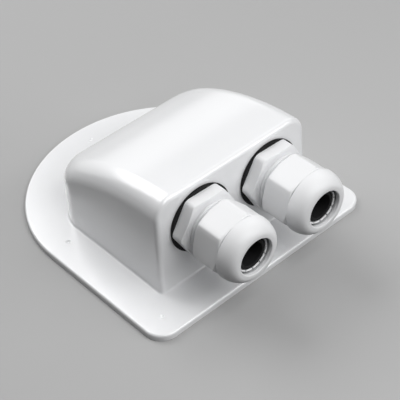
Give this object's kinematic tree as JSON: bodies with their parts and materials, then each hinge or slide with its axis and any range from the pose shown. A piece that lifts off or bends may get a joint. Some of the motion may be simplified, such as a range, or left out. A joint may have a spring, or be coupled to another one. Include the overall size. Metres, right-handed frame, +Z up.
{
  "type": "cable entry box",
  "caption": "White moulded roof entry box for cables, with a hollow housing on a D-shaped flange and screw cable glands in its front wall.",
  "frame": {"origin": "middle of the part's outline on the roof: halfway between the caps' ends and the back of the flange, on the flange's underside", "axes": "+Z up off the roof, -Y the way the cables leave the glands, +X to the right when looking at the glands along +Y"},
  "size_m": [0.12, 0.1446, 0.0515],
  "materials": {
    "housing_plastic": "glossy white moulded plastic",
    "gland_plastic": "satin white moulded nylon",
    "black_rubber": "matt black rubber"
  },
  "bodies": {
    "box": {"housing": "housing_plastic", "gland_body_left": "gland_plastic", "gasket_left": "black_rubber", "locknut_left": "gland_plastic", "gland_body_right": "gland_plastic", "gasket_right": "black_rubber", "locknut_right": "gland_plastic"},
    "left_seal": {"seal_left": "black_rubber"},
    "left_cap": {"cap_left": "gland_plastic"},
    "right_seal": {"seal_right": "black_rubber"},
    "right_cap": {"cap_right": "gland_plastic"}
  },
  "joints": [
    {"name": "left_travel", "type": "slide", "parent": "box", "child": "left_seal", "axis": [0, -1, 0], "range_m": [-0.00201, 0.00401]},
    {"name": "left_turn", "type": "hinge", "parent": "left_seal", "child": "left_cap", "pos_m": [-0.0192, -0.06, 0.0322], "axis": [0, -1, 0], "range_deg": [-360, 720]},
    {"name": "right_travel", "type": "slide", "parent": "box", "child": "right_seal", "axis": [0, -1, 0], "range_m": [-0.00201, 0.00401]},
    {"name": "right_turn", "type": "hinge", "parent": "right_seal", "child": "right_cap", "pos_m": [0.0192, -0.06, 0.0322], "axis": [0, -1, 0], "range_deg": [-360, 720]}
  ],
  "couplings": [
    {"joint": "left_travel", "follows": "left_turn", "m_per_rad": 0.00031831},
    {"joint": "right_travel", "follows": "right_turn", "m_per_rad": 0.00031831}
  ]
}
